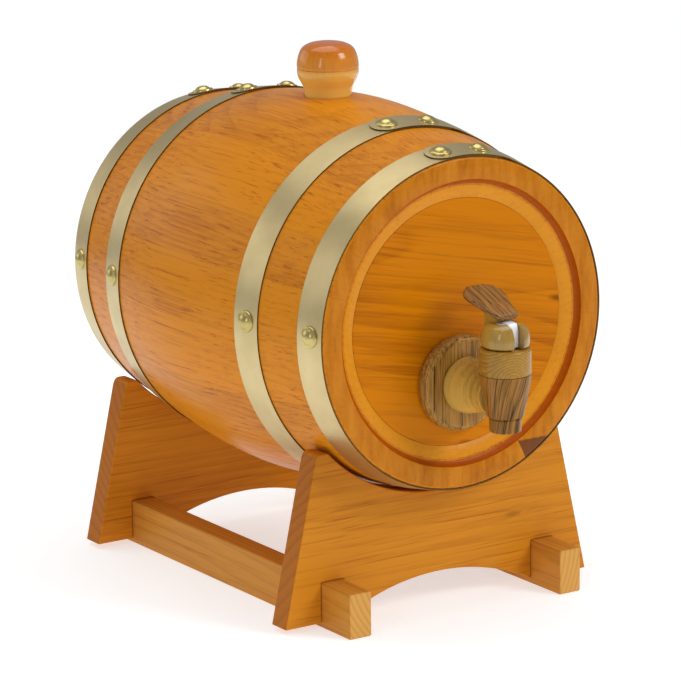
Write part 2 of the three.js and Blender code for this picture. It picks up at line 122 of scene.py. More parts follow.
# ---- node helpers ----
class Nodes:
    """A short way to write one material's nodes."""

    def __init__(self, name):
        self.material = bpy.data.materials.new(name)
        self.material.use_nodes = True
        self.tree = self.material.node_tree
        self.shader = self.tree.nodes["Principled BSDF"]

    def add(self, kind, inputs=None, **settings):
        node = self.tree.nodes.new(kind)
        for key, value in settings.items():
            setattr(node, key, value)
        for key, value in (inputs or {}).items():
            self.put(node.inputs[key], value)
        return node

    def put(self, socket, value):
        """Links a socket's output to another socket, or sets that socket to a plain value."""
        if isinstance(value, bpy.types.NodeSocket):
            self.tree.links.new(value, socket)
        else:
            socket.default_value = value

    def math(self, operation, a, b=0.0, clamp=False):
        node = self.add("ShaderNodeMath", {0: a, 1: b}, operation=operation, use_clamp=clamp)
        return node.outputs[0]

    def vector(self, operation, a, b=(0, 0, 0)):
        node = self.add("ShaderNodeVectorMath", {0: a, 1: b}, operation=operation)
        return node.outputs["Value"] if operation == "LENGTH" else node.outputs[0]

    def noise(self, vector, scale, detail=2.0, rough=0.5):
        node = self.add("ShaderNodeTexNoise", {"Vector": vector, "Scale": scale, "Detail": detail,
                                               "Roughness": rough})
        return node.outputs["Fac"]

    def ramp(self, fac, stops):
        """A colour for each value, from stops of (value, colour)."""
        node = self.add("ShaderNodeValToRGB", {"Fac": fac})
        ramp = node.color_ramp
        while len(ramp.elements) < len(stops):
            ramp.elements.new(0.5)
        for element, (place, colour) in zip(ramp.elements, stops):
            element.position = place
            element.color = (*colour, 1) if len(colour) == 3 else colour
        return node.outputs["Color"]

    def mix(self, fac, a, b):
        node = self.add("ShaderNodeMix", data_type="RGBA")
        self.put(node.inputs[0], fac)
        self.put(node.inputs[6], a)
        self.put(node.inputs[7], b)
        return node.outputs[2]

    def add_share(self, total, value, middle, share, clamp=False):
        """The total with a share of how far the value lies from its middle."""
        offset = self.math("SUBTRACT", value, middle)
        return self.math("ADD", total, self.math("MULTIPLY", offset, share), clamp=clamp)

    def bump(self, height, strength, distance):
        node = self.add("ShaderNodeBump", {"Height": height, "Strength": strength, "Distance": distance})
        self.put(self.shader.inputs["Normal"], node.outputs[0])

    def shade(self, **values):
        for key, value in values.items():
            self.put(self.shader.inputs[key.replace("_", " ")], value)


def linear(red, green, blue):
    """An sRGB colour of 0 to 255 as a linear RGBA."""
    def one(c):
        c /= 255
        return c / 12.92 if c <= 0.04045 else ((c + 0.055) / 1.055) ** 2.4
    return (one(red), one(green), one(blue), 1.0)


def grey(value):
    return (value, value, value)


# How many rings the slow waver of the wood moves a ring by.
RING_WANDER = 7.0
KNOT_HEART = (0.02, 0.008, 0.002, 1)
# The turn that lays each grain direction along Y. The paddle's grain climbs with its slope.
GRAIN_TURNS = {"X": (0, 0, math.pi / 2), "Y": (0, 0, 0), "Z": (math.pi / 2, 0, 0), "slope": (-0.3456, 0, 0)}


def wood(name, light, dark, grain="Y", turn=0.0, tilt=0.0, pith=(0.03, 0, -0.12), spacing=3 * MM,
         rings=0.25, fibre=0.5, streaks=0.5, blotch=0.3, knots=0.0, gloss=0.32, coat=0.3, shine=0.15,
         seed=0, tint_and_painted_light=None, ends=None, fine=1.0, turned_about=None):
    """Lacquered wood with growth rings about a pith line, fibres along the grain and slow colour drift.

    rings, fibre, streaks, blotch and knots are how strongly each of them darkens the wood. ends gives the
    two tones of its end faces: end grain, painted darker as shade on the cradle plates and lighter as painted
    light on the rails. The last tinting step tints parts of one piece, and on the staves it paints shade into
    the cove and a highlight onto the cone.
    """
    n = Nodes(name)
    place = n.add("ShaderNodeTexCoord").outputs["Object"]
    if turned_about:
        place = unrolled(n, place, turned_about)
    leaned = n.add("ShaderNodeMapping", {"Vector": place, "Rotation": (0, tilt, 0)}).outputs[0]
    first = n.add("ShaderNodeMapping", {"Vector": leaned, "Rotation": GRAIN_TURNS[grain]}).outputs[0]
    laid = n.add("ShaderNodeMapping", {"Vector": first, "Rotation": (0, turn, 0)}).outputs[0]
    from_pith = n.vector("ADD", laid, pith)
    elsewhere = (0.71 * math.sin(seed * 2.1), 0.37 * seed, 0.53 * math.cos(seed * 3.7))
    board = n.vector("ADD", laid, elsewhere)
    wander = n.noise(n.vector("MULTIPLY", board, (14, 3, 14)), 1.0, 2.0, 0.5)
    across = n.vector("LENGTH", n.vector("MULTIPLY", from_pith, (1, 0.02, 1)))
    phase = n.math("ADD", n.math("MULTIPLY", across, 1 / spacing), n.math("MULTIPLY", wander, RING_WANDER))
    ring = n.ramp(n.math("FRACT", phase), [(0.0, grey(0.0)), (0.4, grey(0.1)), (0.84, grey(0.75)),
                                           (0.92, grey(1.0)), (1.0, grey(0.0))])
    sway = n.add("ShaderNodeCombineXYZ", {0: wander, 2: wander}).outputs[0]
    bent = n.vector("ADD", board, n.vector("MULTIPLY", sway, (0.012, 0, 0.012)))
    strand = n.noise(n.vector("MULTIPLY", bent, (620 * fine, 15, 620 * fine)), 1.0, 4.0, 0.6)
    pore = n.noise(n.vector("MULTIPLY", bent, (2400, 90, 2400)), 1.0, 2.0, 0.5)
    streak = n.ramp(n.noise(n.vector("MULTIPLY", bent, (860 * fine, 12, 860 * fine)), 1.0, 3.0, 0.55),
                    [(0.0, grey(0.0)), (0.58, grey(0.0)), (0.66, grey(1.0))])
    slow = n.noise(n.vector("MULTIPLY", board, (22, 7, 22)), 1.0, 2.0, 0.5)
    total = n.math("ADD", n.math("MULTIPLY", ring, rings), n.math("MULTIPLY", streak, streaks * 0.5))
    total = n.add_share(total, strand, 0.44, fibre * 2.0)
    total = n.add_share(total, pore, 0.5, fibre * 0.9)
    total = n.add_share(total, slow, 0.5, blotch * 2.4, clamp=True)
    colour = n.mix(total, linear(*light), linear(*dark))
    if knots:
        cell_place = n.vector("MULTIPLY", board, (30, 9, 30))
        cells = n.add("ShaderNodeTexVoronoi", {"Vector": cell_place, "Scale": 1.0})
        spot = n.ramp(cells.outputs["Distance"], [(0.0, grey(1.0)), (0.02, grey(0.9)), (0.06, grey(0.0))])
        heart = n.mix(0.6, linear(*dark), KNOT_HEART)
        colour = n.mix(n.math("MULTIPLY", spot, knots), colour, heart)
    # End faces take the end tones: end grain, which on the cradle plates is painted darker as shade and on
    # the rails lighter as painted light.
    if ends:
        normal = n.add("ShaderNodeTexCoord").outputs["Normal"]
        facing = n.add("ShaderNodeSeparateXYZ", {0: normal}).outputs[grain]
        square = n.ramp(n.math("ABSOLUTE", facing), [(0.0, grey(0.0)), (0.7, grey(0.0)), (0.9, grey(0.75))])
        end_tone_and_painted_light = n.mix(n.math("MULTIPLY", ring, 0.5), linear(*ends[0]), linear(*ends[1]))
        colour = n.mix(square, colour, end_tone_and_painted_light)
    # The last step tints parts of a piece; on the staves it also paints shade and a highlight.
    if tint_and_painted_light:
        colour = tint_and_painted_light(n, place, colour)
    n.put(n.shader.inputs["Base Color"], colour)
    n.put(n.shader.inputs["Roughness"], n.math("ADD", n.math("MULTIPLY", strand, 0.14), gloss - 0.07))
    n.shade(Coat_Weight=coat, Coat_Roughness=0.12, Coat_IOR=1.45, Specular_IOR_Level=shine)
    n.bump(n.math("ADD", n.math("MULTIPLY", strand, 0.6), n.math("MULTIPLY", ring, 0.08)), 0.2, 0.1 * MM)
    return n.material


def unrolled(n, place, centre):
    """Lays a turned piece's side flat, so that its fibres follow the taper. The seam is at the back."""
    offset = n.vector("SUBTRACT", place, centre)
    x, y, z = n.add("ShaderNodeSeparateXYZ", {0: offset}).outputs
    angle = n.math("ARCTAN2", x, n.math("MULTIPLY", y, -1.0))
    depth = n.vector("LENGTH", n.vector("MULTIPLY", offset, (1, 1, 0)))
    flat = {0: n.math("MULTIPLY", angle, 10 * MM), 1: n.math("MULTIPLY", depth, 0.15), 2: z}
    return n.add("ShaderNodeCombineXYZ", flat).outputs[0]


def from_axis(n, place):
    """The place measured from the barrel's middle, and its distance from the barrel's axis."""
    centred = n.vector("SUBTRACT", place, (0, MIDDLE_Y, AXIS_Z))
    return centred, n.vector("LENGTH", n.vector("MULTIPLY", centred, (1, 0, 1)))


def stave_ends(n, place, colour):
    """The chime is end grain with little figure, the cove is painted red-brown as shade, and the cone is
    painted lighter as a highlight.
    """
    centred, radius = from_axis(n, place)
    along = n.add("ShaderNodeSeparateXYZ", {0: centred}).outputs[1]
    depth = n.math("SUBTRACT", HALF, n.math("ABSOLUTE", along))
    near = n.math("LESS_THAN", depth, HEAD_DEPTH + 0.4 * MM)
    chime = n.math("LESS_THAN", depth, 0.1 * MM)
    drift = n.noise(n.vector("MULTIPLY", place, (170, 0, 40)), 1.0, 3.0, 0.6)
    figure = n.ramp(drift, [(0.3, linear(212, 134, 36)), (0.55, linear(190, 112, 16)),
                            (0.75, linear(152, 80, 8))])
    plain = n.mix(n.math("MULTIPLY", chime, 0.8), colour, figure)
    # Painted shade: the cove's wall is tinted red-brown, standing in for the shade in the recess.
    cove_shade_limits = {0: radius, 1: COVE_MIDDLE_R, 2: COVE_SHADE_BAND}
    cove_painted_shade = n.add("ShaderNodeMath", cove_shade_limits, operation="COMPARE").outputs[0]
    # Painted highlight: the cone beside the head is tinted lighter where light catches it.
    cone = n.math("MULTIPLY", near, n.math("LESS_THAN", radius, CONE_R))
    with_cone_highlight = n.mix(n.math("MULTIPLY", cone, 0.6), plain, linear(236, 158, 42))
    return n.mix(n.math("MULTIPLY", n.math("MULTIPLY", near, cove_painted_shade), 0.8), with_cone_highlight, linear(172, 68, 2))


def dark_stave_ends(n, place, colour):
    """The outer part of this stave is dark heartwood, sawn off level about 58 mm below the axis."""
    centred, radius = from_axis(n, place)
    height = n.add("ShaderNodeSeparateXYZ", {0: centred}).outputs[2]
    ragged = n.math("ADD", height, n.math("MULTIPLY", n.noise(place, 300.0), 1.5 * MM))
    below = n.math("MULTIPLY", ragged, -10.0)
    heart = n.ramp(below, [(0.0, grey(0.0)), (0.578, grey(0.0)), (0.586, grey(0.85))])
    outer = n.math("GREATER_THAN", radius, CHIME_R + 0.2 * MM)
    plain = stave_ends(n, place, colour)
    return n.mix(n.math("MULTIPLY", heart, outer), plain, linear(96, 52, 30))


def bung_tone(n, place, colour):
    """The knob end is darker above its groove, and its flared neck is pale."""
    height = n.add("ShaderNodeSeparateXYZ", {0: place}).outputs[2]
    above = n.math("SUBTRACT", height, AXIS_Z + BELLY_R)
    share = n.math("DIVIDE", above, BUNG_HIGH.z - AXIS_Z - BELLY_R)
    pale = n.ramp(share, [(0.0, grey(0.9)), (0.46, grey(0.7)), (0.53, grey(0.2)), (0.8, grey(0.0))])
    red = n.ramp(share, [(0.0, grey(0.0)), (0.72, grey(0.0)), (1.0, grey(0.75))])
    return n.mix(red, n.mix(pale, colour, linear(255, 206, 100)), linear(190, 84, 4))


def brass(name, colour, dull, roughness, round_y):
    """Brass with fine lines, faint spots and uneven polish. On a strip the lines run round the barrel."""
    n = Nodes(name)
    place = n.add("ShaderNodeTexCoord").outputs["Object"]
    stretch = (14, 2600, 14) if round_y else (900, 900, 900)
    lines = n.noise(n.vector("MULTIPLY", place, stretch), 1.0, 3.0, 0.6)
    cloud = n.noise(place, 42.0, 3.0, 0.55)
    spots = n.ramp(n.noise(place, 420.0, 2.0, 0.5), [(0.0, grey(0.0)), (0.66, grey(0.0)), (0.76, grey(1.0))])
    uneven = n.math("MULTIPLY", n.math("SUBTRACT", cloud, 0.35), 1.4, clamp=True)
    base = n.mix(uneven, linear(*colour), linear(*dull))
    worn = n.mix(n.math("MULTIPLY", spots, 0.25), base, linear(*dull))
    n.put(n.shader.inputs["Base Color"], worn)
    rough = n.math("ADD", n.math("MULTIPLY", lines, 0.16), n.math("MULTIPLY", cloud, 0.1))
    n.put(n.shader.inputs["Roughness"], n.math("ADD", rough, roughness - 0.12))
    n.shade(Metallic=1.0)
    n.bump(lines, 0.12, 0.04 * MM)
    return n.material


def plastic(name, colour):
    """Moulded plastic with a faint mottle."""
    n = Nodes(name)
    place = n.add("ShaderNodeTexCoord").outputs["Object"]
    mottle = n.noise(place, 900.0, 2.0, 0.5)
    warm = tuple(c * 0.9 for c in linear(*colour)[:3]) + (1.0,)
    n.put(n.shader.inputs["Base Color"], n.mix(n.math("MULTIPLY", mottle, 0.4), linear(*colour), warm))
    n.put(n.shader.inputs["Roughness"], n.math("ADD", n.math("MULTIPLY", mottle, 0.1), 0.2))
    n.bump(mottle, 0.05, 0.03 * MM)
    return n.material


# ---- mesh helpers ----
def make(name, verts, faces, material, body=None, nodes=(), slot=None, bevel=0.0, segments=2,
         sharp=SHARP_ANGLE):
    """A mesh piece in the row frame, with clean normals, that rides on a body and stands for CAD nodes.

    A piece without a body is only a cutter.
    """
    mesh = bpy.data.meshes.new(name)
    mesh.from_pydata([tuple(v) for v in verts], [], faces)
    work = bmesh.new()
    work.from_mesh(mesh)
    bmesh.ops.remove_doubles(work, verts=work.verts, dist=0.002 * MM)
    bmesh.ops.recalc_face_normals(work, faces=work.faces)
    work.to_mesh(mesh)
    work.free()
    piece = bpy.data.objects.new(name, mesh)
    bpy.context.scene.collection.objects.link(piece)
    if material:
        mesh.materials.append(material)
    soften(piece, bevel, segments, sharp)
    if body:
        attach(piece, body)
        if nodes:
            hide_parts(*nodes)
    return piece


def soften(piece, bevel, segments, sharp):
    """Shades the piece smooth with its sharp edges kept, and eases those edges by the bevel."""
    mesh = piece.data
    mesh.polygons.foreach_set("use_smooth", [True] * len(mesh.polygons))
    mesh.set_sharp_from_angle(angle=math.radians(sharp))
    if bevel:
        modifier = piece.modifiers.new("eased", "BEVEL")
        modifier.width = bevel
        modifier.segments = segments
        modifier.limit_method = "ANGLE"
        modifier.angle_limit = math.radians(EASED_ANGLE)
        modifier.harden_normals = True


def cut(piece, cutter):
    """Takes one closed mesh out of another and throws the cutter away."""
    modifier = piece.modifiers.new("cut", "BOOLEAN")
    modifier.operation = "DIFFERENCE"
    modifier.solver = "EXACT"
    modifier.object = cutter
    piece.modifiers.move(len(piece.modifiers) - 1, 0)
    bpy.context.view_layer.update()
    for other in piece.modifiers[1:]:
        other.show_viewport = False
    graph = bpy.context.evaluated_depsgraph_get()
    graph.update()
    result = bpy.data.meshes.new_from_object(piece.evaluated_get(graph))
    piece.modifiers.remove(modifier)
    for other in piece.modifiers:
        other.show_viewport = True
    piece.data = result
    bpy.data.objects.remove(cutter)
    soften(piece, 0, 0, SHARP_ANGLE)


def fillet(points, radius, steps=4):
    """A closed outline of (r, h) points with its corners rounded."""
    out = []
    count = len(points)
    for i, point in enumerate(points):
        here = Vector(point)
        before = Vector(points[i - 1])
        after = Vector(points[(i + 1) % count])
        back = before - here
        on = after - here
        cut_back = min(radius, back.length * 0.45, on.length * 0.45)
        if cut_back < 1e-6 or abs(back.normalized().dot(on.normalized()) + 1) < 0.002:
            out.append(tuple(here))
            continue
        a = here + back.normalized() * cut_back
        b = here + on.normalized() * cut_back
        for k in range(steps + 1):
            t = k / steps
            out.append(tuple(a * (1 - t) ** 2 + here * 2 * t * (1 - t) + b * t ** 2))
    return out


def smooth_line(points, steps=6):
    """An open Catmull-Rom line through (r, h) points."""
    pts = [Vector(p) for p in points]
    out = []
    for i in range(len(pts) - 1):
        p0 = pts[max(i - 1, 0)]
        p1, p2 = pts[i], pts[i + 1]
        p3 = pts[min(i + 2, len(pts) - 1)]
        for k in range(steps):
            t = k / steps
            out.append(tuple(0.5 * ((2 * p1) + (p2 - p0) * t + (2 * p0 - 5 * p1 + 4 * p2 - p3) * t ** 2
                                    + (3 * p1 - p0 - 3 * p2 + p3) * t ** 3)))
    out.append(tuple(pts[-1]))
    return out


def in_mm(points):
    """Outline points given in millimetres, in metres."""
    return [(r * MM, h * MM) for r, h in points]


def spread(start, end, steps):
    """Evenly spaced values from start to end, both included."""
    return [start + (end - start) * i / steps for i in range(steps + 1)]


def ring_point(centre, axis, r, h, angle):
    """The point at radius r and height h along the axis, turned round it by the angle."""
    c, s = math.cos(angle), math.sin(angle)
    if axis == "Y":
        return (centre[0] + r * c, centre[1] + h, centre[2] + r * s)
    return (centre[0] + r * c, centre[1] + r * s, centre[2] + h)


def turned(profile, centre, axis, around):
    """The points and faces of a closed outline of (r, h) turned all the way round an axis."""
    count = len(profile)
    verts = [ring_point(centre, axis, r, h, 2 * math.pi * k / around)
             for k in range(around) for r, h in profile]
    faces = []
    for k in range(around):
        a, b = k * count, ((k + 1) % around) * count
        for i in range(count):
            j = (i + 1) % count
            on_axis = [profile[i][0] < 1e-7, profile[j][0] < 1e-7]
            if all(on_axis):
                continue
            if on_axis[0]:
                faces.append((a + i, a + j, b + j))
            elif on_axis[1]:
                faces.append((a + i, a + j, b + i))
            else:
                faces.append((a + i, a + j, b + j, b + i))
    return verts, faces


def revolve(name, profile, centre, axis, material, around=96, **rest):
    """A turned piece whose axis passes through centre."""
    verts, faces = turned(profile, centre, axis, around)
    return make(name, verts, faces, material, **rest)


def loft(name, rings, material, **rest):
    """A closed piece over rings of matching points, from the first ring to the last."""
    count = len(rings[0])
    last = (len(rings) - 1) * count
    faces = [tuple(range(count)), tuple(reversed(range(last, last + count)))]
    for a in range(0, last, count):
        b = a + count
        faces += [(a + i, a + (i + 1) % count, b + (i + 1) % count, b + i) for i in range(count)]
    return make(name, [point for ring in rings for point in ring], faces, material, **rest)


def box_mesh(name, low, high, material=None, **rest):
    """A block between two corners."""
    verts = [(x, y, z) for x in (low[0], high[0]) for y in (low[1], high[1]) for z in (low[2], high[2])]
    faces = [(0, 1, 3, 2), (4, 6, 7, 5), (0, 4, 5, 1), (2, 3, 7, 6), (0, 2, 6, 4), (1, 5, 7, 3)]
    return make(name, verts, faces, material, **rest)


# ---- the barrel's curve ----
def outer_r(y):
    """The stave radius at y, measured from the barrel's middle."""
    return BELLY_R - TAPER * (math.hypot(y, BEND) - BEND)


def outer_slope(y):
    """How fast that radius changes along the barrel at y."""
    return -TAPER * y / math.hypot(y, BEND)


def stave_profile():
    """A stave's section: the bulged outside, the rounded rims, the hollow, and at each end the cove."""
    outside = [(outer_r(y), y) for y in spread(-HALF + RIM_EDGE, HALF - RIM_EDGE, 40)]
    rounding = [(RIM_R - RIM_EDGE * (1 - math.sin(a)), HALF - RIM_EDGE * (1 - math.cos(a)))
                for a in (0.9, 0.45, 0.0)]
    hollow = HALF - HOWEL_DEPTH
    inside = [(outer_r(y) - STAVE_THICK, y) for y in spread(hollow, -hollow, 10)]
    cove = [(65.75 * MM, 1.0 * MM), (65.2 * MM, 2.0 * MM), (64.2 * MM, 2.9 * MM), (63.2 * MM, 3.15 * MM)]
    end = [(CHIME_R + 0.35 * MM, 0), (CHIME_R, 0.12 * MM)] + cove
    end += [(COVE_R, COVE_DEPTH + 0.2 * MM), (HEAD_R + 0.3 * MM, HEAD_DEPTH - 0.15 * MM),
            (HEAD_R, HEAD_DEPTH + 0.1 * MM), (HEAD_R, HEAD_DEPTH + HEAD_THICK + 1 * MM)]
    back = [(r, HALF - depth) for r, depth in end]
    front = [(r, depth - HALF) for r, depth in reversed(end)]
    front_rounding = [(r, -h) for r, h in reversed(rounding)]
    return front_rounding + outside + rounding + back + inside + front


def stave(number, start, end, material):
    """One stave between two joints, drawn in by SEAM on each side."""
    profile = stave_profile()
    columns = max(5, round((end - start) / 2.5))
    rings = []
    for k in range(columns + 1):
        angle = math.radians(start + (end - start) * k / columns)
        pull = SEAM * (1 if k == 0 else -1 if k == columns else 0)
        rings.append([ring_point((0, MIDDLE_Y, AXIS_Z), "Y", r, h, angle + pull / r) for r, h in profile])
    node = f"stave_{number:02d}"
    return loft(f"{node}_wood", rings, material, body="barrel", nodes=(node,),
                slot="dark_stave_wood" if number == DARK_STAVE else "stave_wood", bevel=0.04 * MM,
                segments=1)


# ---- hoops and fasteners ----
def strap_columns(half_width, r):
    """Each row of the strap, from its hidden end to its tip, as (angle, share of the rounded tip)."""
    start = math.radians(LAP_UNDER)
    last = math.radians(LAP_TIP + 360) - 1.25 * half_width / r
    return [(a, 0.0) for a in spread(start, last, 150)] + [(last, k / 8) for k in range(1, 9)]


def hoop(which):
    """A strap bent once round the barrel, that climbs over its own start and ends in a rounded lap."""
    low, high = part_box(f"hoop_{which}")
    centre_y = (low.y + high.y) / 2 - MIDDLE_Y
    half_width = (high.y - low.y) / 2
    r = outer_r(centre_y)
    tip = math.radians(LAP_TIP + 360)
    rise_from, rise_to = [math.radians(LAP_UNDER + 360 - before) for before in LAP_CLIMB]
    across = [math.sin(math.radians(a)) for a in spread(-90, 90, 12)]
    rows = strap_columns(half_width, r)
    verts = []
    for angle, share in rows:
        for side in (0, 1):
            for t in across:
                y = centre_y + t * half_width
                end = tip - half_width / r * (1 - math.sqrt(max(0, 1 - t * t)))
                a = angle + share * (end - angle)
                rise = min(1, max(0, (a - rise_from) / (rise_to - rise_from)))
                lift = (rise * rise * (3 - 2 * rise)) * (STRAP_THICK + STRAP_GAP)
                height = outer_r(y) + STRAP_SEAT + lift + side * STRAP_THICK
                verts.append(ring_point((0, MIDDLE_Y, AXIS_Z), "Y", height, y, a))
    wide = len(across)
    faces = []
    for k in range(len(rows) - 1):
        a, b = k * 2 * wide, (k + 1) * 2 * wide
        for i in range(wide - 1):
            faces.append((a + i, a + i + 1, b + i + 1, b + i))
            faces.append((a + wide + i + 1, a + wide + i, b + wide + i, b + wide + i + 1))
        faces.append((a, b, b + wide, a + wide))
        faces.append((a + wide - 1, a + 2 * wide - 1, b + 2 * wide - 1, b + wide - 1))
    last = (len(rows) - 1) * 2 * wide
    for i in range(wide - 1):
        faces.append((i, i + 1, wide + i + 1, wide + i))
        faces.append((last + i + 1, last + i, last + wide + i, last + wide + i + 1))
    strap = make(f"strap_{which}", verts, faces, HOOP_BRASS, body="barrel", nodes=(f"hoop_{which}",),
                 slot="hoop_brass", bevel=0.12 * MM)
    # The strip's edge faces are painted dark as shade along its edges and round the lap's tip, and its flat
    # sides are not.
    strap.data.materials.append(HOOP_EDGE_SHADE)
    for face in strap.data.polygons:
        outward = Vector((face.center.x, 0, face.center.z - AXIS_Z)).normalized()
        face.material_index = 0 if abs(face.normal.dot(outward)) > 0.7 else 1
    for i, angle in enumerate(RIVET_ANGLES):
        fastener(f"rivet_{which}_{i + 1}", centre_y, angle, 2)
    for i, angle in enumerate(NAIL_ANGLES):
        fastener(f"nail_{which}_{i + 1}", centre_y, angle, 1)


def fastener(node, y, angle, layers):
    """A domed head with a thin rim, square to the strap, over one or two layers of it."""
    lean = math.atan(outer_slope(y))
    turn = math.radians(angle)
    out = Vector((math.cos(turn) * math.cos(lean), -math.sin(lean), math.sin(turn) * math.cos(lean)))
    r = outer_r(y) + STRAP_SEAT
    seat = Vector((r * math.cos(turn), y + MIDDLE_Y, r * math.sin(turn) + AXIS_Z))
    seat += out * (layers * STRAP_THICK + STRAP_GAP)
    spin = Vector((0, 0, 1)).rotation_difference(out).to_matrix().to_4x4()
    place = Matrix.Translation(seat) @ spin
    rim = [(0, -0.2), (5.0, -0.2), (5.0, 0.35), (4.8, 0.65), (4.3, 0.8)]
    dome = smooth_line([(3.7, 0.9), (3.25, 1.35), (2.45, 1.95), (1.3, 2.35), (0, 2.45)], 5)
    verts, faces = turned(in_mm(rim + dome), (0, 0, 0), "Z", 40)
    make(f"{node}_head", [place @ Vector(v) for v in verts], faces, RIVET_BRASS, body="barrel",
         nodes=(node,), slot="fastener_brass")


# ---- heads ----
def head_outline(low, high, r):
    """The outline of a round head between two heights, as (x, z) points."""
    def arc(z0, z1, side):
        a0, a1 = math.asin(max(-1, min(1, z0 / r))), math.asin(max(-1, min(1, z1 / r)))
        return [(side * r * math.cos(a), r * math.sin(a)) for a in spread(a0, a1, 28)]
    return arc(low, high, 1) + arc(high, low, -1)


def head_board(node, material, hole=False):
    """One board of a head, drawn to touch its neighbours, with the tap's hole if it has one."""
    low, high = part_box(node)
    z0, z1 = low.z - AXIS_Z, high.z - AXIS_Z
    r = HEAD_R - 0.12 * MM
    z0, z1 = max(z0 - 0.15 * MM, -r), min(z1 + 0.15 * MM, r)
    outline = head_outline(z0, z1, r)
    sides = [[(x, y, z + AXIS_Z) for x, z in outline] for y in (low.y, high.y)]
    piece = loft(f"{node}_board", sides, material, body="barrel", nodes=(node,), slot="head_wood")
    if hole:
        bore = [(0, -30 * MM), (TAP_HOLE_R, -30 * MM), (TAP_HOLE_R, 30 * MM), (0, 30 * MM)]
        cut(piece, revolve("bore", bore, (0, TAP_FACE_Y, TAP_AXIS_Z), "Y", None, around=64))


# ---- bung ----
def bung():
    """The turned bung: a tapered plug, a flared neck, a fine groove and a domed knob."""
    plug = [(0, -16), (9.0, -16), (9.8, -15.2), (11.1, -0.2)]
    flare = smooth_line([(11.15, 0), (11.3, 1.5), (11.8, 4), (12.8, 6), (13.8, 8), (14.35, 10.2),
                         (14.4, 12.1)], 5)
    groove = [(14.2, 12.25), (13.95, 12.45), (14.2, 12.65)]
    dome = smooth_line([(14.4, 12.8), (14.4, 15.0), (13.6, 18.7), (11.9, 21.9), (8.6, 23.8), (4.6, 24.55),
                        (0, 24.7)], 6)
    revolve("bung_turned", in_mm(plug + flare + groove + dome), BUNG_PLACE, "Z", BUNG_WOOD, body="bung",
            nodes=("bung",), slot="bung_wood")


def bung_hole():
    """A cutter in the shape of the tapered hole under the bung."""
    cone = in_mm([(0, -22), (9.5, -22), (11.3, 0), (11.6, 4), (0, 4)])
    return revolve("cone", cone, BUNG_PLACE, "Z", None, around=64)


# ---- stand ----
def plate_outline(low, high):
    """Half of a cradle plate as (x, z) points, from the middle of the arch to the middle of the saddle."""
    foot_x, foot_z = high.x, low.z
    horn_x, horn_z, top = 67.5 * MM, 77.5 * MM, high.z
    rail_low, rail_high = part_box("rail_right")
    clear = 0.08 * MM
    inner, outer, notch = rail_low.x - clear, rail_high.x + clear, rail_high.z + clear
    arch_r, arch_top = 112.5 * MM, 15.6 * MM
    arch = [(arch_r * math.sin(a), arch_top - arch_r * (1 - math.cos(a)))
            for a in spread(0, math.asin(inner / arch_r), 20)]
    saddle_r = outer_r(HALF - 32.5 * MM) + 0.25 * MM
    saddle_z = top - 0.9 * MM
    start = math.asin((AXIS_Z - saddle_z) / saddle_r)
    saddle = [(saddle_r * math.cos(a), AXIS_Z - saddle_r * math.sin(a))
              for a in spread(start, math.pi / 2, 40)]
    saddle_x = saddle[0][0]

    def curve(p0, p1, p2):
        return [tuple(p0[i] * (1 - t) ** 2 + p1[i] * 2 * t * (1 - t) + p2[i] * t * t for i in (0, 1))
                for t in spread(0, 1, 6)]

    horn = curve((horn_x, horn_z), (horn_x - 0.8 * MM, top), (horn_x - 3.5 * MM, top))
    lip = curve((saddle_x + 2.4 * MM, top), (saddle_x + 0.8 * MM, top), (saddle_x, saddle_z))
    foot = [(inner, notch), (outer, notch), (outer, foot_z), (foot_x, foot_z)]
    return arch + foot + horn + lip + saddle[1:]


def cradle(side, material):
    node = f"cradle_{side}"
    low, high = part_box(node)
    right = plate_outline(low, high)
    outline = right + [(-x, z) for x, z in reversed(right[1:-1])]
    sides = [[(x, y, z) for x, z in outline] for y in (low.y, high.y)]
    loft(f"{node}_plate", sides, material, body="stand", nodes=(node,), slot="stand_wood",
         bevel=0.7 * MM, segments=3)


def rail(side, material):
    node = f"rail_{side}"
    low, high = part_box(node)
    box_mesh(f"{node}_bar", low, high, material, body="stand", nodes=(node,), slot="stand_wood",
             bevel=0.9 * MM, segments=3)


# ---- tap ----
def tap_rosette():
    pts = [(9, -0.3), (21.9, -0.3), (22.25, -0.9), (22.25, -3.4), (21.9, -4.6), (20.9, -5.7), (19.4, -6.2),
           (9, -6.2)]
    profile = fillet(in_mm(pts), 0.6 * MM)
    revolve("tap_rosette_disc", profile, (0, TAP_FACE_Y, TAP_AXIS_Z), "Y", ROSETTE_WOOD, body="tap",
            nodes=("tap_rosette",), slot="tap_dark_wood")


def tap_neck():
    bell = smooth_line([(12.2, 6.45), (12.95, 7.2), (13.0, 9.0), (12.6, 12.0), (11.7, 15.2), (10.6, 18.6),
                        (9.7, 22.0), (9.3, 26.0), (9.2, 29.5)], 5)
    pts = [(0, -14), (8.1, -14), (8.7, -13.4), (8.7, 6.3)] + bell + [(0, 29.5)]
    profile = in_mm([(r, -h) for r, h in pts])
    revolve("tap_neck_turned", profile, (0, TAP_FACE_Y, TAP_AXIS_Z), "Y", NECK_WOOD, body="tap",
            nodes=("tap_neck",), slot="tap_light_wood")


def tap_body():
    side = smooth_line([(8.35, -8.2), (8.9, -5), (10.1, 1), (11.2, 6), (11.75, 10.95)], 6)
    pts = [(3.6, -15.5), (6.7, -15.5), (7.2, -15.1), (7.35, -9.6), (7.0, -9.1), (7.3, -8.8)] + side
    pts += [(4.9, 10.95), (4.9, -5), (3.6, -5)]
    revolve("tap_body_turned", in_mm(pts), (0, PLUG_Y, TAP_AXIS_Z), "Z", BODY_WOOD, body="tap",
            nodes=("tap_body",), slot="tap_dark_wood")


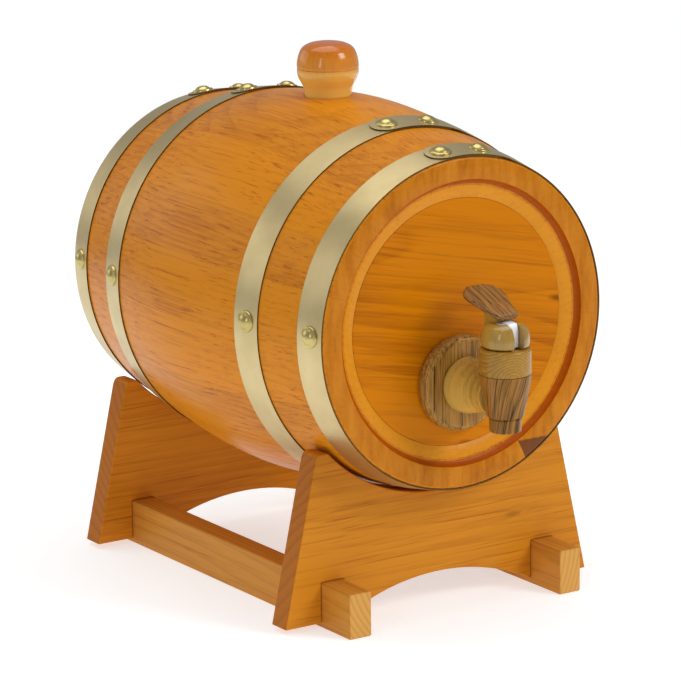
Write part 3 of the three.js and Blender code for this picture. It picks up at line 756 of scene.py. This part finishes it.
def tap_collar():
    pts = [(4.9, 11.05), (11.75, 11.05), (11.75, 22.0), (11.3, 22.7), (10.4, 23.0), (4.9, 23.0)]
    profile = fillet(in_mm(pts), 0.5 * MM)
    revolve("tap_collar_turned", profile, (0, PLUG_Y, TAP_AXIS_Z), "Z", COLLAR_WOOD, body="tap",
            nodes=("tap_collar",), slot="tap_light_wood")


def tap_knob():
    """The turned knob, open up its middle for the plug and in front for the plug's fin."""
    side = smooth_line([(9.6, 23.3), (10.6, 24.0), (11.0, 25.6), (10.95, 28.2), (10.3, 30.9), (8.9, 32.9),
                        (6.9, 34.0)], 6)
    bore = [(4.9, 34.0), (4.9, 23.3)]
    knob = revolve("tap_knob_turned", in_mm(side + bore), (0, PLUG_Y, TAP_AXIS_Z), "Z", KNOB_WOOD,
                   body="tap_key", nodes=("tap_knob",), slot="tap_light_wood")
    cut(knob, box_mesh("slot", (-KNOB_SLOT, PLUG_Y - 20 * MM, TAP_AXIS_Z + 20 * MM),
                       (KNOB_SLOT, PLUG_Y, TAP_AXIS_Z + 40 * MM)))


def tap_plug():
    pts = [(0, -4.7), (4.3, -4.7), (4.6, -4.4), (4.6, 33.7), (4.3, 34.0), (0, 34.0)]
    revolve("tap_plug_core", in_mm(pts), (0, PLUG_Y, TAP_AXIS_Z), "Z", WHITE_PLASTIC, around=64,
            body="tap_key", nodes=("tap_plug",), slot="white_plastic")


# The paddle's sections from its front edge to its tail: distance up the slope, half width, thickness.
PADDLE = [(0.0, 4.6, 1.9), (0.35, 5.5, 2.7), (1.2, 6.0, 3.3), (4.0, 6.3, 3.4), (8.0, 7.1, 3.4),
          (12.0, 8.4, 3.4), (15.5, 9.4, 3.4), (18.5, 10.0, 3.5), (21.2, 10.0, 3.5), (23.6, 9.2, 3.4),
          (25.6, 7.6, 3.1), (27.0, 5.3, 2.6), (27.8, 2.8, 1.8)]
PADDLE_START = (-2.2 * MM, 35.3 * MM)
PADDLE_TILT = math.radians(19.8)
PADDLE_MIDDLE = 3.2 / 2


def up_slope(x, along, lift):
    """A point on the paddle's slope, from its front edge's underside, in the row frame."""
    c, s = math.cos(PADDLE_TILT), math.sin(PADDLE_TILT)
    return (x, PLUG_Y + PADDLE_START[0] + along * c - lift * s,
            TAP_AXIS_Z + PADDLE_START[1] + along * s + lift * c)


def tap_handle():
    """The paddle: a rounded bar that widens to its tail, with a shallow dish on top."""
    around = 40
    sections = []
    for along, wide, thick in PADDLE:
        dish = 0.7 * max(0.0, math.sin(math.pi * (along - 6) / 20)) if 6 < along < 26 else 0.0
        section = []
        for k in range(around):
            a = 2 * math.pi * k / around
            c, s = math.cos(a), math.sin(a)
            x = wide * math.copysign(abs(c) ** 0.5, c)
            lift = thick / 2 * math.copysign(abs(s) ** 0.42, s)
            if s > 0:
                lift -= dish * (1 - (x / wide) ** 2)
            section.append(up_slope(x * MM, along * MM, (PADDLE_MIDDLE + lift) * MM))
        sections.append(section)
    handle = loft("tap_handle_paddle", sections, HANDLE_WOOD, body="tap_key", nodes=("tap_handle",),
                  slot="tap_dark_wood", sharp=70)
    subdivide(handle, 1)


def tap_pedestal():
    """Rises from the back of the knob to the paddle's underside, waisted between them."""
    foot, middle = 29.0, 5.0
    back = [(10.7 * math.sin(a), 10.7 * math.cos(a)) for a in spread(-0.54, 0.54, 8)]
    plan = [(-5.5, 3.0), (-4.9, 0.4), (4.9, 0.4), (5.5, 3.0)] + list(reversed(back))
    levels = [(0.0, 1.0), (0.25, 0.97), (0.5, 0.93), (0.75, 0.95), (1.0, 1.02)]
    rings = []
    for t, size in levels:
        ring = []
        for x, y in plan:
            wide, deep = x * size, middle + (y - middle) * size
            top = PADDLE_START[1] / MM + (deep - PADDLE_START[0] / MM) * math.tan(PADDLE_TILT) - 0.05
            ring.append((wide * MM, PLUG_Y + deep * MM, TAP_AXIS_Z + (foot + (top - foot) * t) * MM))
        rings.append(ring)
    loft("tap_knob_pedestal", rings, KNOB_WOOD, body="tap_key", slot="tap_light_wood", bevel=0.5 * MM,
         segments=3, sharp=50)


def tap_fin():
    """The flat front of the plug, gripped by the knob's slot."""
    side = [(-1.0, 23.7), (-6.7, 23.7), (-6.7, 31.2), (-6.2, 33.0), (-5.4, 34.6), (-1.0, 34.9)]
    sides = [[(x * MM, PLUG_Y + y * MM, TAP_AXIS_Z + z * MM) for y, z in side] for x in (-2.45, 2.45)]
    loft("tap_plug_fin", sides, WHITE_PLASTIC, body="tap_key", slot="white_plastic", bevel=0.35 * MM,
         segments=3)


def subdivide(piece, levels):
    modifier = piece.modifiers.new("fine", "SUBSURF")
    modifier.levels = levels
    modifier.render_levels = levels


# ---- looks ----
STAVE_LIGHT = (222, 138, 24)
STAVE_DARK = (160, 74, 4)
HOOP_BRASS = brass("hoop_brass_strip", (216, 196, 146), (182, 162, 114), 0.36, True)
# Dark brass for the strap's edge faces, painted as the shade along its edges.
HOOP_EDGE_SHADE = brass("hoop_edge_painted_shade", (112, 86, 44), (72, 50, 24), 0.5, True)
RIVET_BRASS = brass("rivet_brass", (206, 188, 122), (168, 148, 84), 0.3, False)
BUNG_WOOD = wood("bung_lacquer", (222, 134, 20), (160, 80, 6), grain="Z", spacing=2.6 * MM, rings=0.2,
                 fibre=0.5, streaks=0.3, seed=3, gloss=0.2, coat=0.4, shine=0.3, tint_and_painted_light=bung_tone)
ROSETTE_WOOD = wood("rosette_wood", (186, 134, 58), (48, 27, 12), grain="Z", spacing=1.3 * MM, rings=0.3,
                    fibre=1.1, streaks=1.2, blotch=0.3, seed=5, gloss=0.4, coat=0.12, fine=1.9)
BODY_WOOD = wood("tap_body_wood", (168, 116, 46), (34, 19, 9), grain="Z", tilt=-0.2, spacing=1.2 * MM,
                 turned_about=(0, PLUG_Y, 0), rings=0.35, fibre=1.2, streaks=1.4, blotch=0.35, seed=7,
                 gloss=0.36, coat=0.12, fine=2.2)
HANDLE_WOOD = wood("handle_wood", (172, 122, 66), (38, 22, 12), grain="slope", spacing=1.2 * MM, rings=0.35,
                   fibre=1.1, streaks=1.4, blotch=0.3, seed=9, gloss=0.38, coat=0.12, fine=1.9)
NECK_WOOD = wood("neck_wood", (206, 166, 78), (88, 60, 16), grain="Z", spacing=5 * MM, rings=0.2,
                 fibre=0.4, streaks=0.3, blotch=1.6, seed=11, gloss=0.16, coat=0.8, shine=0.5)
COLLAR_WOOD = wood("collar_wood", (180, 134, 50), (104, 70, 20), grain="Y", pith=(0.0035, 0, -0.1195),
                   spacing=1.1 * MM, rings=0.5, fibre=0.4, streaks=0.2, seed=13, gloss=0.26, coat=0.3)
KNOB_WOOD = wood("knob_wood", (178, 140, 58), (104, 76, 22), grain="Z", spacing=4 * MM, rings=0.12,
                 fibre=0.3, streaks=0.2, blotch=0.9, seed=15, gloss=0.22, coat=0.6, shine=0.4)
WHITE_PLASTIC = plastic("white_plastic", (246, 246, 250))


def stave_look(number):
    """Each stave is cut from another board, so it has its own tone, rings and drift."""
    tone = 0.5 + 0.5 * math.sin(number * 2.399)
    light = tuple(c * (0.975 + 0.035 * tone) for c in STAVE_LIGHT)
    dark = tuple(c * (0.97 + 0.05 * tone) for c in STAVE_DARK)
    middle = math.radians((STAVE_JOINTS[number - 1] + STAVE_ENDS[number - 1]) / 2)
    return wood(f"stave_lacquer_{number:02d}", light, dark, turn=middle - math.pi / 2,
                pith=(0.02 * math.sin(number * 1.7), 0, -0.10 - 0.03 * tone),
                spacing=(2.6 + 1.2 * tone) * MM, rings=0.22, fibre=0.5, streaks=0.9, blotch=0.4, knots=0.1,
                seed=number, gloss=0.3, coat=0.03, shine=0.1,
                tint_and_painted_light=dark_stave_ends if number == DARK_STAVE else stave_ends)


# ---- build ----
for number, (joint, after) in enumerate(zip(STAVE_JOINTS, STAVE_ENDS), 1):
    made = stave(number, joint, after, stave_look(number))
    if number == BUNG_STAVE:
        cut(made, bung_hole())

for side, seed in (("front", 1), ("back", 8)):
    head_look = wood(f"head_lacquer_{side}", (214, 126, 4), (152, 74, 2), grain="X", turn=0.3, tilt=-0.2,
                     pith=(0.02, 0, -0.30), spacing=7 * MM, rings=0.32, fibre=0.42, streaks=0.6, blotch=0.65,
                     knots=0.8, seed=seed, gloss=0.34, coat=0.02, shine=0.06)
    for level in ("top", "middle", "bottom"):
        head_board(f"head_{side}_{level}", head_look, hole=(side == "front" and level == "bottom"))

for hoop_name in HOOPS:
    hoop(hoop_name)
bung()
# The plates' end tones paint their side edges darker, as painted shade.
for side, seed in (("front", 21), ("back", 22)):
    cradle(side, wood(f"cradle_lacquer_{side}", (214, 136, 30), (160, 86, 12), grain="X", spacing=5 * MM,
                      pith=(0.05, 0, -0.14), rings=0.24, fibre=0.45, streaks=0.8, blotch=0.4, knots=0.6,
                      seed=seed, gloss=0.46, coat=0.02, shine=0.12, ends=((168, 92, 20), (120, 60, 10))))
# The rails' end tones paint their front and back ends lighter, as painted light.
for side, seed in (("left", 24), ("right", 25)):
    rail(side, wood(f"rail_lacquer_{side}", (208, 140, 52), (158, 92, 26), grain="Y", spacing=2.6 * MM,
                    pith=(0.02, 0, -0.03), rings=0.3, fibre=0.4, seed=seed, gloss=0.46, coat=0.02, shine=0.12,
                    ends=((226, 172, 92), (176, 120, 50))))
tap_rosette()
tap_neck()
tap_body()
tap_collar()
tap_knob()
tap_plug()
tap_fin()
tap_pedestal()
tap_handle()


# ---- floor, light and camera ----
def stage():
    """A white paper floor that the barrel's shadow falls on."""
    mesh = bpy.data.meshes.new("floor")
    rim = [(FLOOR_R * math.cos(a), FLOOR_R * math.sin(a), 0)
           for a in spread(0, 2 * math.pi, FLOOR_SIDES)[:-1]]
    mesh.from_pydata(rim, [], [tuple(range(FLOOR_SIDES))])
    floor = bpy.data.objects.new("floor", mesh)
    bpy.context.scene.collection.objects.link(floor)
    n = Nodes("floor_paper")
    place = n.add("ShaderNodeTexCoord").outputs["Object"]
    paper = n.mix(n.noise(place, 30.0), (0.61, 0.64, 0.66, 1), (0.58, 0.61, 0.63, 1))
    n.put(n.shader.inputs["Base Color"], paper)
    n.shade(Roughness=0.9, Emission_Color=WHITE, Emission_Strength=0.56)
    mesh.materials.append(n.material)


def area_light(name, place, size, power):
    data = bpy.data.lights.new(name, "AREA")
    data.shape = "RECTANGLE"
    data.size, data.size_y = size
    data.energy = power
    light = bpy.data.objects.new(name, data)
    light.location = place
    light.rotation_euler = (Vector(LIGHT_AIM) - Vector(place)).to_track_quat("-Z", "Y").to_euler()
    bpy.context.scene.collection.objects.link(light)


def camera():
    """The photograph's viewpoint, given from the barrel's middle."""
    data = bpy.data.cameras.new("camera")
    data.sensor_width = 36
    data.lens = FOCAL_WIDTHS * 36
    data.clip_end = 20
    cam = bpy.data.objects.new("camera", data)
    back = Vector((math.sin(AZIMUTH) * math.cos(ELEVATION), -math.cos(AZIMUTH) * math.cos(ELEVATION),
                   math.sin(ELEVATION)))
    forward = -back
    right = forward.cross(Vector((0, 0, 1))).normalized()
    up = right.cross(forward)
    leaned = math.cos(ROLL) * right + math.sin(ROLL) * up
    raised = -math.sin(ROLL) * right + math.cos(ROLL) * up
    turn = Matrix((leaned, raised, back)).transposed().to_4x4()
    place = Vector(CAMERA_PLACE) + Vector((0, MIDDLE_Y, AXIS_Z))
    cam.matrix_world = Matrix.Translation(place) @ turn
    bpy.context.scene.collection.objects.link(cam)
    bpy.context.scene.camera = cam


def world():
    """A dim white surround that the camera itself sees as pure white."""
    scene = bpy.context.scene
    scene.world = bpy.data.worlds.new("studio")
    scene.world.use_nodes = True
    tree = scene.world.node_tree
    background = tree.nodes["Background"]
    background.inputs["Color"].default_value = WHITE
    background.inputs["Strength"].default_value = 0.34
    white = tree.nodes.new("ShaderNodeBackground")
    white.inputs["Color"].default_value = WHITE
    white.inputs["Strength"].default_value = 1.0
    path = tree.nodes.new("ShaderNodeLightPath")
    mix = tree.nodes.new("ShaderNodeMixShader")
    tree.links.new(path.outputs["Is Camera Ray"], mix.inputs[0])
    tree.links.new(background.outputs[0], mix.inputs[1])
    tree.links.new(white.outputs[0], mix.inputs[2])
    tree.links.new(mix.outputs[0], tree.nodes["World Output"].inputs["Surface"])
    scene.view_settings.view_transform = "Standard"


stage()
world()
camera()
for light_name, light_place, light_size, watts in LIGHTS:
    area_light(light_name, light_place, light_size, watts)
